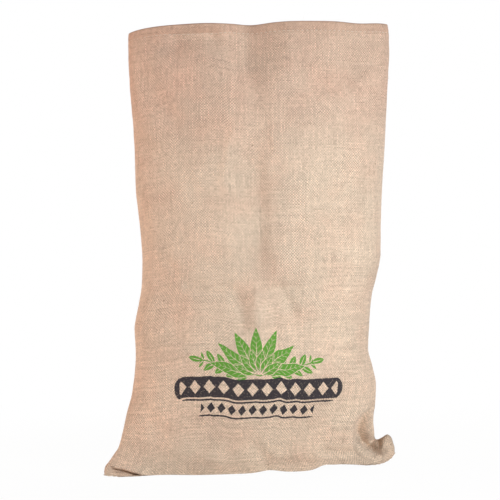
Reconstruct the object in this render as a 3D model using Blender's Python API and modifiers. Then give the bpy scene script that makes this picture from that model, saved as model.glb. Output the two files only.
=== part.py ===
"""Hessian sack, empty, standing open on its base.

One cut length of cloth is sewn down one side and across the bottom, and turned in once round the mouth
as a hem. The cloth is a tube of nearly constant girth: wide and shallow at the mouth, rounder at the
waist, and flattened under the sack into a sewn bottom whose two corners stick out as ears.

Frame: metres, +Z up, front facing -Y, left ear at -X, origin on the floor under the middle of the
sack's bounding box. The tables below are in millimetres, measured from a line up the middle of the sack.
"""

import math
from collections import namedtuple

import bmesh
import bpy
import numpy as np

MM = 0.001

SINGLE_CLOTH = 2.0 * MM
HEM_CLOTH = 3.6 * MM
HEM_WIDTH = 17.0 * MM

HESSIAN_COLOUR = (0.60, 0.43, 0.30, 1.0)
HESSIAN_ROUGHNESS = 0.92

COLUMNS_PER_FACE = 40
ROW_STEP = 28.0 * MM
FOOT_ROW_STEP = 12.0 * MM
FOOT_HEIGHT = 105.0
OUTLINE_SAMPLES = 360
MOUTH_SHARPNESS = 8.0
EAR_SHARPNESS = 15.0
BASE_TURN_DEGREES = -6.0

# A level round the sack: height of its front and back middles, x and height of its two side ends, how far
# back its side ends stand, how much further back its middle line bows, depth of the front and back from
# that line, how pointed its side ends are (1 is an ellipse), and how much of the foot's turn it has.
Level = namedtuple(
    "Level", "height left left_height right right_height shift bow front back pointed turn")

LEVELS = (
    Level(720, -192, 713, 230, 716, 28, 0, 74, 80, 1.15, 0.0),
    Level(703, -193, 697, 232, 700, 28, 0, 75, 81, 1.15, 0.0),
    Level(680, -193, 676, 232, 679, 29, 0, 77, 83, 1.10, 0.0),
    Level(642, -192, 641, 230, 642, 30, 0, 81, 87, 1.05, 0.0),
    Level(584, -189, 584, 226, 584, 31, 0, 87, 91, 1.00, 0.0),
    Level(519, -187, 519, 222, 519, 32, 0, 92, 96, 1.00, 0.0),
    Level(454, -186, 454, 217, 454, 33, 0, 97, 101, 1.00, 0.1),
    Level(388, -181, 388, 213, 388, 34, 0, 102, 106, 1.00, 0.1),
    Level(346, -178, 346, 212, 346, 35, 0, 106, 109, 1.00, 0.2),
    Level(306, -179, 306, 204, 306, 36, 0, 110, 112, 1.00, 0.3),
    Level(275, -184, 275, 196, 275, 37, 0, 112, 114, 0.95, 0.3),
    Level(230, -192, 230, 192, 230, 38, 0, 112, 114, 0.95, 0.4),
    Level(190, -191, 190, 191, 190, 37.5, 0, 111, 113.5, 0.95, 0.5),
    Level(160, -193, 160, 198, 160, 36, 0, 108, 112, 0.95, 0.6),
    Level(131, -198, 131, 203, 131, 32, 0, 102, 111, 1.00, 0.7),
    Level(100, -206, 100, 201, 100, 26, 0, 92.5, 110, 1.05, 0.8),
    Level(68, -214, 68, 195, 68, 14, 2, 77, 110, 1.10, 0.9),
    Level(38, -222, 43, 197, 42, 0, 4, 58, 107, 1.20, 1.0),
    Level(17, -232, 31, 205, 46, -11, 6, 42, 105, 1.30, 1.0),
    Level(4, -239, 23, 213, 52, -19, 8, 30, 99, 1.40, 1.0),
    Level(0, -243, 19, 219, 47, -22, 8, 24, 86, 1.50, 1.0),
    Level(0, -245, 14, 221.5, 38, -23, 8, 18, 56, 1.50, 1.0),
    Level(0, -246, 9, 223.5, 30, -24, 8, 12.5, 26, 1.40, 1.0),
    Level(0, -246, 4, 223.5, 21, -24, 8, 3.8, 3.8, 0.35, 1.0),
)

# The packing crease down both faces, from the mouth: how far its left and right flanks reach, and its depth
# (a ridge if negative).
CreasePoint = namedtuple("CreasePoint", "height x left right depth")
CREASE = (
    CreasePoint(720, -1, 50, 66, 20),
    CreasePoint(684, -1, 44, 70, 28),
    CreasePoint(660, -1, 42, 61, 28),
    CreasePoint(636, 3, 42, 46, 19),
    CreasePoint(608, 9, 40, 30, 10),
    CreasePoint(580, 12, 40, 24, 6),
    CreasePoint(516, 12, 42, 25, 7),
    CreasePoint(468, 11, 42, 24, 9),
    CreasePoint(425, 10, 42, 24, 14),
    CreasePoint(345, 9, 42, 24, 14),
    CreasePoint(325, 8, 40, 24, 6),
    CreasePoint(306, 4, 30, 24, 0),
    CreasePoint(290, 2, 20, 26, -7),
    CreasePoint(250, 3, 20, 26, -7),
    CreasePoint(210, 6, 26, 26, -2),
    CreasePoint(100, 8, 30, 30, 0),
)
CREASE_SOFTNESS = 0.08

# Where an edge stands higher (or, if negative, lower) than level: the front of the mouth, the foot's
# front edge and seam, or the whole foot, which the curled right ear lifts off the floor.
Wave = namedtuple("Wave", "edge x reach rise")
MOUTH, FRONT_FOOT, WHOLE_FOOT = "mouth", "front foot", "whole foot"
WAVES = (
    Wave(MOUTH, 10, 26, -3),
    Wave(MOUTH, 182, 30, -3),
    Wave(FRONT_FOOT, -150, 40, 2),
    Wave(FRONT_FOOT, 22, 20, 4),
    Wave(FRONT_FOOT, 108, 10, 6),
    Wave(WHOLE_FOOT, 150, 38, 7),
)
WAVE_FADE = 45.0 * MM
SEAM_TO_FOOT = 35.0 * MM

# Dents (negative depth) and ridges (positive depth) in the front or back. Each follows a path of x and
# height, and fades over one reach to the left of the path and another to its right: softly, or with
# straight flanks if it is crisp. A level fold moves the cloth straight forward, not along its normal.
Fold = namedtuple("Fold", "face path left right depth crisp level", defaults=(False, False))
FRONT, BACK = "front", "back"
FOLDS = (
    Fold(FRONT, ((-114, 691), (-71, 691), (-31, 686)), 10, 13, -6),
    Fold(FRONT, ((-166, 640), (-146, 600), (-121, 575)), 17, 17, -4),
    Fold(FRONT, ((-186, 552), (-163, 522)), 14, 14, -4),
    Fold(FRONT, ((-180, 433), (-172, 383)), 12, 12, -3),
    Fold(FRONT, ((112, 646), (163, 608)), 9, 12, -5),
    Fold(FRONT, ((122, 664), (170, 634)), 10, 9, 4),
    Fold(FRONT, ((173, 672), (216, 639)), 12, 14, -5),
    Fold(FRONT, ((-104, 301), (-37, 298), (5, 298), (72, 295)), 8, 7, -5),
    Fold(FRONT, ((-100, 286), (-40, 285)), 9, 9, 3),
    Fold(FRONT, ((-30, 294), (-18, 262), (-14, 236)), 10, 12, -6),
    Fold(FRONT, ((47, 295), (68, 254)), 9, 10, -6),
    Fold(FRONT, ((-150, 329), (-120, 230)), 18, 18, -4),
    Fold(FRONT, ((-196, 120), (-150, 70)), 16, 16, -5),
    Fold(FRONT, ((-130, 42), (-60, 26)), 12, 12, 4),
    Fold(FRONT, ((-1, 45), (17, 13)), 12, 12, -4),
    Fold(FRONT, ((40, 12), (88, 11)), 10, 10, -3),
    Fold(FRONT, ((112, 26), (156, 20)), 9, 9, -4),
    Fold(FRONT, ((-224, 22), (-188, 12)), 8, 6, -3),
    Fold(FRONT, ((178, 87), (167, 72), (164, 57), (168, 44), (178, 34)), 24, 9, -22, True, True),
    Fold(FRONT, ((190, 82), (191, 68), (189, 58)), 9, 16, 8, False, True),
    Fold(FRONT, ((168, 92), (149, 66), (152, 38)), 10, 10, 4),
    Fold(BACK, ((-96, 303), (84, 306)), 7, 7, -5),
    Fold(BACK, ((-140, 654), (-60, 606)), 20, 20, -6),
    Fold(BACK, ((90, 634), (168, 670)), 16, 16, -6),
    Fold(BACK, ((120, 464), (168, 384)), 22, 22, -6),
    Fold(BACK, ((-60, 250), (-36, 150)), 22, 22, -6),
    Fold(BACK, ((-196, 118), (-158, 62)), 16, 16, -7),
    Fold(BACK, ((150, 110), (190, 60)), 14, 14, -8),
    Fold(BACK, ((-20, 52), (-12, 8)), 16, 16, -7),
    Fold(BACK, ((84, 60), (96, 10)), 15, 15, -7),
)


def smooth_curve(knots, values, at):
    """Read a curve through the knots that never swings past them."""
    knots = np.asarray(knots, dtype=float)
    values = np.asarray(values, dtype=float)
    spans = np.diff(knots)
    slopes = np.diff(values) / spans
    tangents = np.zeros(len(knots))
    tangents[0], tangents[-1] = slopes[0], slopes[-1]
    for i in range(1, len(knots) - 1):
        if slopes[i - 1] * slopes[i] > 0:
            before = 2 * spans[i] + spans[i - 1]
            after = spans[i] + 2 * spans[i - 1]
            tangents[i] = (before + after) / (before / slopes[i - 1] + after / slopes[i])
    piece = np.clip(np.searchsorted(knots, at, side="right") - 1, 0, len(spans) - 1)
    t = (at - knots[piece]) / spans[piece]
    return ((1 + 2 * t) * (1 - t) ** 2 * values[piece]
            + t * (1 - t) ** 2 * spans[piece] * tangents[piece]
            + t * t * (3 - 2 * t) * values[piece + 1]
            + t * t * (t - 1) * spans[piece] * tangents[piece + 1])


def cloth_distances():
    """How far down the cloth from the mouth each level lies, along the middle of the back."""
    steps = [math.dist((a.height, a.back), (b.height, b.back)) for a, b in zip(LEVELS, LEVELS[1:])]
    return np.concatenate([[0.0], np.cumsum(steps)]) * MM


def row_positions():
    """Distances down the cloth at which the mesh has a row: every level, and more between far ones."""
    distances = cloth_distances()
    rows = [distances[0]]
    for start, end, level in zip(distances, distances[1:], LEVELS[1:]):
        step = FOOT_ROW_STEP if 0 < level.height < FOOT_HEIGHT else ROW_STEP
        count = max(1, round((end - start) / step))
        rows.extend(start + (end - start) * (k + 1) / count for k in range(count))
    return np.array(rows)


def level_at(distance):
    """The level at a distance down the cloth, in metres apart from its last two columns."""
    knots = cloth_distances()
    columns = {name: float(smooth_curve(knots, [getattr(level, name) for level in LEVELS], distance))
               for name in Level._fields}
    for name in Level._fields[:-2]:
        columns[name] *= MM
    return Level(**columns)


def flank(share):
    """A fold's straight flank: 1 at the fold's line, and easing out flat past its reach, where share is 1."""
    share = np.sqrt(share ** 2 + CREASE_SOFTNESS ** 2) - CREASE_SOFTNESS
    return ((1.0 - share) + np.sqrt((1.0 - share) ** 2 + 0.04)) / 2.02


def crease_depth(height, x):
    """Inward depth of the packing crease at x."""
    heights = [point.height * MM for point in reversed(CREASE)]
    height = min(max(height, heights[0]), heights[-1])
    centre, left, right, depth = (
        smooth_curve(heights, [getattr(point, name) * MM for point in reversed(CREASE)], height)
        for name in CreasePoint._fields[1:])
    return depth * flank((x - centre) / np.where(x < centre, left, right))


def face_outline(level, face):
    """One face of the sack at a level, from its left end to its right end, evenly spaced by length."""
    angle = np.linspace(math.pi, 0.0, OUTLINE_SAMPLES)
    half_width = (level.right - level.left) / 2
    x = (level.right + level.left) / 2 + half_width * np.cos(angle)
    bulge = np.sin(angle).clip(0.0, 1.0) ** level.pointed
    depth = (level.front if face == FRONT else level.back) * bulge
    depth -= crease_depth(level.height, x) * np.sin(angle).clip(0.0, 1.0)
    bow = level.bow * (1.0 - np.cos(angle) ** 4)
    y = level.shift + bow + (-depth if face == FRONT else depth)
    sharpness = MOUTH_SHARPNESS + (EAR_SHARPNESS - MOUTH_SHARPNESS) * level.turn
    end_share = np.abs(np.cos(angle)) ** sharpness
    end_height = np.where(np.cos(angle) < 0, level.left_height, level.right_height)
    z = level.height + (end_height - level.height) * end_share
    turn = math.radians(BASE_TURN_DEGREES) * level.turn
    points = np.stack([x * math.cos(turn) + y * math.sin(turn),
                       y * math.cos(turn) - x * math.sin(turn), z], axis=1)
    length = np.concatenate([[0.0], np.cumsum(np.linalg.norm(np.diff(points, axis=0), axis=1))])
    even = np.linspace(0.0, length[-1], COLUMNS_PER_FACE + 1)
    return np.stack([np.interp(even, length, points[:, axis]) for axis in range(3)], axis=1)


def ring_at(distance):
    """A closed ring round the sack: the front from left to right, then the back from right to left."""
    level = level_at(distance)
    front = face_outline(level, FRONT)
    back = face_outline(level, BACK)
    return np.concatenate([front, back[-2:0:-1]])


def outward_normals(grid):
    """Unit normals of a grid of rings, pointing out of the sack."""
    along = np.roll(grid, -1, axis=1) - np.roll(grid, 1, axis=1)
    down = np.gradient(grid, axis=0)
    normals = np.cross(down, along)
    lengths = np.linalg.norm(normals, axis=2, keepdims=True)
    return normals / np.maximum(lengths, 1e-9)


def path_distances(places, path):
    """Distance of each place from a path, and whether it lies to the left of it."""
    nearest = np.full(places.shape[:-1], np.inf)
    on_left = np.zeros(places.shape[:-1], dtype=bool)
    for start, end in zip(path, path[1:]):
        run = end - start
        offset = places - start
        share = (offset @ run / (run @ run)).clip(0.0, 1.0)
        distance = np.linalg.norm(offset - share[..., None] * run, axis=-1)
        closer = distance < nearest
        turn = run[0] * offset[..., 1] - run[1] * offset[..., 0]
        on_left = np.where(closer, turn > 0, on_left)
        nearest = np.where(closer, distance, nearest)
    return nearest, on_left


def fold_depths(grid, folds):
    """How far each point of the grid moves out of (or, if negative, into) the sack for its folds."""
    column = np.arange(grid.shape[1])
    on_front = column <= COLUMNS_PER_FACE
    depths = np.zeros(grid.shape[:2])
    for fold in folds:
        distance, on_left = path_distances(grid[:, :, [0, 2]], np.array(fold.path) * MM)
        reach = np.where(on_left, fold.left, fold.right) * MM
        side = on_front if fold.face == FRONT else ~on_front
        share = distance / reach
        fade = flank(share) if fold.crisp else np.exp(-share ** 2)
        depths += np.where(side[None, :], fold.depth * MM * fade, 0.0)
    return depths


def wave_rises(grid, rows):
    """How far each point of the grid rises for the waves of the mouth and of the foot."""
    on_front = (np.arange(grid.shape[1]) <= COLUMNS_PER_FACE)[None, :]
    near_floor = np.exp(-grid[:, :, 2] / WAVE_FADE)
    near_seam = (1.0 - (rows[-1] - rows) / SEAM_TO_FOOT).clip(0.0, 1.0)[:, None]
    strength = {
        MOUTH: np.exp(-rows / WAVE_FADE)[:, None] * on_front,
        FRONT_FOOT: near_floor * np.where(on_front, 1.0, near_seam),
        WHOLE_FOOT: near_floor,
    }
    rises = np.zeros(grid.shape[:2])
    for wave in WAVES:
        across = np.exp(-((grid[:, :, 0] - wave.x * MM) / (wave.reach * MM)) ** 2)
        rises += wave.rise * MM * across * strength[wave.edge]
    return rises


def sack_grid():
    """Every point of the outer face of the cloth, as rings from the mouth down to the bottom seam."""
    rows = row_positions()
    grid = np.array([ring_at(distance) for distance in rows])
    normals = outward_normals(grid)
    resting = grid[:, :, 2] < 1.0 * MM
    depths = np.where(resting, 0.0, fold_depths(grid, [fold for fold in FOLDS if not fold.level]))
    depths[:, [0, COLUMNS_PER_FACE]] *= 0.3
    forward = np.where(resting, 0.0, fold_depths(grid, [fold for fold in FOLDS if fold.level]))
    forward[:, [0, COLUMNS_PER_FACE]] = 0.0
    grid = grid + normals * depths[..., None]
    grid[:, :, 1] -= forward
    grid[:, :, 2] = np.where(resting, 0.0, grid[:, :, 2].clip(0.0, None))
    grid[:, :, 2] += wave_rises(grid, rows)
    middle = (grid.min(axis=(0, 1)) + grid.max(axis=(0, 1))) / 2
    return grid - np.array([middle[0], middle[1], 0.0])


def cloth_mesh(grid):
    """A mesh of the grid's rings, sewn shut along the last one and open at the first."""
    mesh = bpy.data.meshes.new("sack_cloth")
    sheet = bmesh.new()
    rows, columns = grid.shape[:2]
    rings = [[sheet.verts.new(grid[row, column]) for column in range(columns)] for row in range(rows)]
    for upper, lower in zip(rings, rings[1:]):
        for column in range(columns):
            after = (column + 1) % columns
            sheet.faces.new((upper[column], lower[column], lower[after], upper[after]))
    seam = rings[-1]
    for column in range(COLUMNS_PER_FACE):
        front_pair = (seam[column], seam[column + 1])
        back_pair = (seam[-column - 1], seam[-column] if column else seam[0])
        corners = dict.fromkeys((front_pair[0], back_pair[1], back_pair[0], front_pair[1]))
        sheet.faces.new(tuple(corners))
    bmesh.ops.recalc_face_normals(sheet, faces=sheet.faces)
    sheet.to_mesh(mesh)
    sheet.free()
    mesh.shade_smooth()
    return mesh


def hessian_material():
    """Undyed jute cloth: pale tan, dry and dull."""
    material = bpy.data.materials.new("hessian")
    material.use_nodes = True
    shader = material.node_tree.nodes["Principled BSDF"]
    shader.inputs["Base Color"].default_value = HESSIAN_COLOUR
    shader.inputs["Roughness"].default_value = HESSIAN_ROUGHNESS
    shader.inputs["Metallic"].default_value = 0.0
    return material


def make_sack_cloth(collection):
    """The sack's cloth: its outer face, given the thickness of one layer, and of two round the hem."""
    grid = sack_grid()
    sack = bpy.data.objects.new("sack_cloth", cloth_mesh(grid))
    collection.objects.link(sack)
    sack.data.materials.append(hessian_material())
    layers = sack.vertex_groups.new(name="layers")
    columns = grid.shape[1]
    for row, distance in enumerate(row_positions()):
        thickness = HEM_CLOTH if distance <= HEM_WIDTH + 0.5 * MM else SINGLE_CLOTH
        layers.add(list(range(row * columns, (row + 1) * columns)), thickness / HEM_CLOTH, "REPLACE")
    solidify = sack.modifiers.new("cloth thickness", "SOLIDIFY")
    solidify.thickness = HEM_CLOTH
    solidify.offset = -1.0
    solidify.vertex_group = layers.name
    return sack


def main():
    for leftover in list(bpy.data.objects):
        bpy.data.objects.remove(leftover, do_unlink=True)
    collection = bpy.data.collections.new("hessian_sack")
    bpy.context.scene.collection.children.link(collection)
    make_sack_cloth(collection)


main()
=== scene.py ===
"""Dresses the hessian sack: its woven cloth with the turned hem, the printed sprigs and bands, the stitches
of its hem and seam, the loose jute fibres, and a plain studio round it. Metres, +Z up, front facing -Y."""

import math
from collections import namedtuple

import bmesh
import bpy
import numpy as np
from bpy.props import FloatProperty, FloatVectorProperty, PointerProperty
from mathutils import Matrix, Vector


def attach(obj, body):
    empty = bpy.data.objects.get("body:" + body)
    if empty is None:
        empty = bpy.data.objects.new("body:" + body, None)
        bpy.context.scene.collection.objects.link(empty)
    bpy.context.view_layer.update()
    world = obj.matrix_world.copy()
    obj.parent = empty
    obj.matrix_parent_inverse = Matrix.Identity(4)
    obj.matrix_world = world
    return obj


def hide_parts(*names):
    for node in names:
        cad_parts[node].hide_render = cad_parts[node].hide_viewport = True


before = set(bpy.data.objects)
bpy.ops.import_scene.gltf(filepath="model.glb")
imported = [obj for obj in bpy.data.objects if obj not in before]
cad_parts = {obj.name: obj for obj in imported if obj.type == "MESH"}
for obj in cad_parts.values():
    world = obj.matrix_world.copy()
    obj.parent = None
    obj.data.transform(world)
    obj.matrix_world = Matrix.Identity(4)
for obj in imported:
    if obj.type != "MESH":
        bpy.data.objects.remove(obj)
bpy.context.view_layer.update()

bl_info = {
    "name": "Hessian sack",
    "version": (1, 0, 0),
    "blender": (4, 5, 0),
    "location": "3D View > Sidebar > Sack",
    "description": "Builds an empty hessian sack that stands open on its base",
    "category": "Object",
}

CLOTH_NODE = "sack_cloth"
BODY = "root"
MM = 0.001

# ===== The sack's form: levels up the sack, and the folds between them, in millimetres =====

MOUTH_SHARPNESS = 8.0
EAR_SHARPNESS = 15.0
FOOT_TURN_DEGREES = -6.0
OUTLINE_SAMPLES = 720

# A level round the sack: height of its front and back middles, x and height of its two side ends, how far
# back its side ends stand, how much further back its middle line bows, depth of the front and back from
# that line, how pointed its side ends are (1 is an ellipse), and how much of the foot's turn it has.
Level = namedtuple(
    "Level", "height left left_height right right_height shift bow front back pointed turn")

LEVELS = (
    Level(720, -192, 713, 230, 718.5, 28, 0, 74, 80, 1.15, 0.0),
    Level(703, -193, 697, 232, 702, 28, 0, 75, 81, 1.15, 0.0),
    Level(680, -193, 676, 232, 679, 29, 0, 77, 83, 1.10, 0.0),
    Level(642, -192, 641, 230, 642, 30, 0, 81, 87, 1.05, 0.0),
    Level(584, -189, 584, 226, 584, 31, 0, 87, 91, 1.00, 0.0),
    Level(519, -187, 519, 222, 519, 32, 0, 92, 96, 1.00, 0.0),
    Level(454, -186, 454, 217, 454, 33, 0, 97, 101, 1.00, 0.1),
    Level(388, -181, 388, 213, 388, 34, 0, 102, 106, 1.00, 0.1),
    Level(346, -178, 346, 212, 346, 35, 0, 106, 109, 1.00, 0.2),
    Level(306, -179, 306, 204, 306, 36, 0, 110, 112, 1.00, 0.3),
    Level(275, -184, 275, 196, 275, 37, 0, 112, 114, 0.95, 0.3),
    Level(230, -192, 230, 192, 230, 38, 0, 112, 114, 0.95, 0.4),
    Level(190, -191, 190, 191, 190, 37.5, 0, 111, 113.5, 0.95, 0.5),
    Level(160, -193, 160, 198, 160, 36, 0, 108, 112, 0.95, 0.6),
    Level(131, -198, 131, 203, 131, 32, 0, 102, 111, 1.00, 0.7),
    Level(100, -206, 100, 201, 100, 26, 0, 92.5, 110, 1.05, 0.8),
    Level(68, -214, 68, 195, 68, 14, 2, 77, 110, 1.10, 0.9),
    Level(38, -222, 43, 197, 42, 0, 4, 58, 107, 1.20, 1.0),
    Level(17, -232, 31, 205, 46, -11, 6, 42, 105, 1.30, 1.0),
    Level(4, -239, 23, 213, 52, -19, 8, 30, 99, 1.40, 1.0),
    Level(0, -243, 19, 219, 47, -22, 8, 24, 86, 1.50, 1.0),
    Level(0, -245, 14, 221.5, 38, -23, 8, 18, 56, 1.50, 1.0),
    Level(0, -246, 9, 223.5, 30, -24, 8, 12.5, 26, 1.40, 1.0),
    Level(0, -246, 4, 223.5, 21, -24, 8, 3.8, 3.8, 0.35, 1.0),
)

# The packing crease down both faces, from the mouth: how far its left and right flanks reach, and its depth
# (a ridge if negative).
CreasePoint = namedtuple("CreasePoint", "height x left right depth")
CREASE = (
    CreasePoint(720, -1, 62, 66, 25),
    CreasePoint(684, -1, 60, 64, 25),
    CreasePoint(660, -1, 54, 58, 20),
    CreasePoint(636, 3, 44, 46, 14),
    CreasePoint(608, 9, 40, 30, 7),
    CreasePoint(580, 12, 40, 24, 5),
    CreasePoint(540, 14, 40, 28, 4.5),
    CreasePoint(500, 14, 44, 30, 3),
    CreasePoint(468, 14, 46, 30, 6),
    CreasePoint(425, 13, 48, 31, 7.5),
    CreasePoint(345, 12, 48, 30, 7.2),
    CreasePoint(325, 8, 40, 24, 3),
    CreasePoint(306, 4, 30, 24, 0),
    CreasePoint(290, 2, 20, 21, -7),
    CreasePoint(250, 3, 20, 21, -7),
    CreasePoint(210, 6, 26, 26, -2),
    CreasePoint(100, 8, 30, 30, 0),
)

# A straight flank's rounding at the fold's line and at the end of its reach, and the height that it is
# divided by to stand 1 high.
CREASE_SOFTNESS, FLANK_END_SOFTNESS, FLANK_HEIGHT = 0.08, 0.016, 2.01

# Where an edge stands higher (or, if negative, lower) than level: the front of the mouth, the foot's
# front edge and seam, or the whole foot, which the curled right ear lifts off the floor.
Wave = namedtuple("Wave", "edge x reach rise")
MOUTH, FRONT_FOOT, WHOLE_FOOT = "mouth", "front foot", "whole foot"
WAVES = (
    Wave(MOUTH, 10, 26, -3),
    Wave(MOUTH, 182, 30, -3),
    Wave(FRONT_FOOT, -150, 40, 2),
    Wave(FRONT_FOOT, 22, 20, 4),
    Wave(FRONT_FOOT, 110, 15, 6),
    Wave(FRONT_FOOT, 132, 14, 2),
    Wave(WHOLE_FOOT, 150, 38, 7),
)
WAVE_FADE = 45.0 * MM
SEAM_TO_FOOT = 35.0 * MM

# Dents (negative depth) and ridges (positive depth) in the front or back. Each follows a path of x and
# height, and fades over one reach to the left of the path and another to its right, softly or, if crisp,
# with straight flanks. It stands square to the cloth or, if level, straight towards the front.
Fold = namedtuple("Fold", "face path left right depth crisp level", defaults=(False, False))
FRONT, BACK = "front", "back"
FOLDS = (
    Fold(FRONT, ((-114, 696), (-84, 701), (-54, 700)), 12, 24, -14),
    Fold(FRONT, ((-166, 640), (-146, 600), (-121, 575)), 17, 17, -4),
    Fold(FRONT, ((-186, 552), (-163, 522)), 14, 14, -4),
    Fold(FRONT, ((-136, 341), (-124, 326)), 7, 7, -3),
    Fold(FRONT, ((-97, 471), (-87, 454)), 10, 10, -2),
    Fold(FRONT, ((-180, 433), (-172, 383)), 12, 12, -3),
    Fold(FRONT, ((-30, 540), (-43, 467)), 26, 9, 2.2, True),
    Fold(FRONT, ((34, 500), (35, 350)), 44, 14, 3),
    Fold(FRONT, ((112, 613), (160, 625)), 26, 16, -8),
    Fold(FRONT, ((166, 653), (190, 652), (212, 656)), 24, 14, -9),
    Fold(FRONT, ((-104, 301), (-37, 298), (5, 298), (72, 295)), 7, 5, -5),
    Fold(FRONT, ((-100, 286), (-40, 285)), 7, 9, 3),
    Fold(FRONT, ((-30, 294), (-18, 262), (-14, 236)), 9, 12, -2.5),
    Fold(FRONT, ((47, 295), (68, 254)), 8, 10, -4.5),
    Fold(FRONT, ((-150, 329), (-120, 230)), 18, 18, -3),
    Fold(FRONT, ((-196, 120), (-150, 70)), 16, 16, -4),
    Fold(FRONT, ((-130, 42), (-60, 26)), 12, 12, 3),
    Fold(FRONT, ((-1, 45), (17, 13)), 12, 12, -4),
    Fold(FRONT, ((40, 12), (88, 11)), 10, 10, -3),
    Fold(FRONT, ((112, 26), (160, 20)), 8, 8, -4),
    Fold(FRONT, ((-226, 16), (-210, 13), (-195, 8), (-182, 3)), 14, 2.5, 5, True, True),
    Fold(FRONT, ((-228, 12), (-212, 9), (-197, 4.5), (-184, 0)), 1.8, 5, -10, True, True),
    Fold(FRONT, ((178, 87), (170, 79), (164, 69), (162, 57), (165, 45), (172, 37), (181, 30)), 22, 3, -26,
         True, True),
    Fold(FRONT, ((193, 78), (194, 64), (191, 50)), 8, 20, 12, True, True),
    Fold(FRONT, ((168, 92), (155, 80), (149, 66), (147, 54), (152, 38)), 9, 9, 4),
    Fold(FRONT, ((176, 41), (188, 46)), 5, 5, -4),
    Fold(FRONT, ((184, 31), (193, 24), (208, 25)), 4, 4, -4),
    Fold(FRONT, ((200, 46), (201, 34)), 3, 3, -3),
    Fold(BACK, ((-96, 303), (84, 306)), 7, 7, -5),
    Fold(BACK, ((-140, 654), (-60, 606)), 20, 20, -6),
    Fold(BACK, ((90, 634), (168, 670)), 16, 16, -6),
    Fold(BACK, ((120, 464), (168, 384)), 22, 22, -6),
    Fold(BACK, ((-60, 250), (-36, 150)), 22, 22, -6),
    Fold(BACK, ((-196, 118), (-158, 62)), 16, 16, -7),
    Fold(BACK, ((150, 110), (190, 60)), 14, 14, -8),
    Fold(BACK, ((-20, 52), (-12, 8)), 16, 16, -7),
    Fold(BACK, ((84, 60), (96, 10)), 15, 15, -7),
)

# Cloth patterns are laid out in the cloth's own plane: u round the sack from the left side seam, v down
# from the mouth's edge, both in metres.
FACE_WIDTH = 0.49
CLOTH_LENGTH = 0.83
COLUMNS_PER_FACE = 120
# Steps between the rows, and the height below which they lie closer, in millimetres.
ROW_STEP, FOOT_ROW_STEP, FOOT_HEIGHT = 5.3 * MM, 1.9 * MM, 40.0
# The hem's rows below the mouth's edge and the radius of its fold over the edge, in millimetres.
HEM_ROWS = (19.0, 17.0, 15.0, 13.0, 10.0, 6.5, 3.5)
HEM_FOLD_RADIUS, HEM_FOLD_STEPS = 1.5, 5
HEM_WIDTH = 17.0 * MM
HEM_STITCH_LINE = 15.0 * MM
HEM_GROOVE_DEPTH = 0.7 * MM
HEM_GROOVE_REACH = 2.0 * MM
# Cloth below this height rests on the floor, and takes no folds.
REST_BAND = 1.0 * MM
# The columns of the two side ends, and how much of the folds and swells they take.
SIDE_ENDS = [0, COLUMNS_PER_FACE]
SIDE_END_SHARE = 0.3
# How many rows up and down the cloth its slope is read over.
SLOPE_ROWS = 3
TINY = 1e-9

# Uneven swells of the cloth: size of one swell round and down the sack, and how far it stands out.
Swell = namedtuple("Swell", "across down height seed")
SWELLS = (
    Swell(95, 120, 1.6, 11),
    Swell(42, 60, 0.75, 12),
    Swell(20, 26, 0.30, 13),
    Swell(60, 9, 0.16, 14),
)


def smooth_curve(knots, values, at):
    """Read a curve through the knots that never swings past them."""
    knots = np.asarray(knots, dtype=float)
    values = np.asarray(values, dtype=float)
    spans = np.diff(knots)
    slopes = np.diff(values) / spans
    tangents = np.zeros(len(knots))
    tangents[0], tangents[-1] = slopes[0], slopes[-1]
    for i in range(1, len(knots) - 1):
        if slopes[i - 1] * slopes[i] > 0:
            before = 2 * spans[i] + spans[i - 1]
            after = spans[i] + 2 * spans[i - 1]
            tangents[i] = (before + after) / (before / slopes[i - 1] + after / slopes[i])
    piece = np.clip(np.searchsorted(knots, at, side="right") - 1, 0, len(spans) - 1)
    t = (at - knots[piece]) / spans[piece]
    return ((1 + 2 * t) * (1 - t) ** 2 * values[piece]
            + t * (1 - t) ** 2 * spans[piece] * tangents[piece]
            + t * t * (3 - 2 * t) * values[piece + 1]
            + t * t * (t - 1) * spans[piece] * tangents[piece + 1])


def cloth_distances():
    """How far down the cloth from the mouth each level lies, along the middle of the back."""
    steps = [math.dist((a.height, a.back), (b.height, b.back)) for a, b in zip(LEVELS, LEVELS[1:])]
    return np.concatenate([[0.0], np.cumsum(steps)]) * MM


def level_at(distance):
    """The level at a distance down the cloth, in metres apart from its last two columns."""
    knots = cloth_distances()
    columns = {name: float(smooth_curve(knots, [getattr(level, name) for level in LEVELS], distance))
               for name in Level._fields}
    for name in Level._fields[:-2]:
        columns[name] *= MM
    return Level(**columns)


def flank(share):
    """A fold's straight flank: 1 at the fold's line, and easing out flat past its reach, where share is 1."""
    share = np.sqrt(share ** 2 + CREASE_SOFTNESS ** 2) - CREASE_SOFTNESS
    return ((1.0 - share) + np.sqrt((1.0 - share) ** 2 + FLANK_END_SOFTNESS)) / FLANK_HEIGHT


def crease_depth(height, x):
    """Inward depth of the packing crease at x."""
    heights = [point.height * MM for point in reversed(CREASE)]
    height = min(max(height, heights[0]), heights[-1])
    centre, left, right, depth = (
        smooth_curve(heights, [getattr(point, name) * MM for point in reversed(CREASE)], height)
        for name in CreasePoint._fields[1:])
    return depth * flank((x - centre) / np.where(x < centre, left, right))


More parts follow.
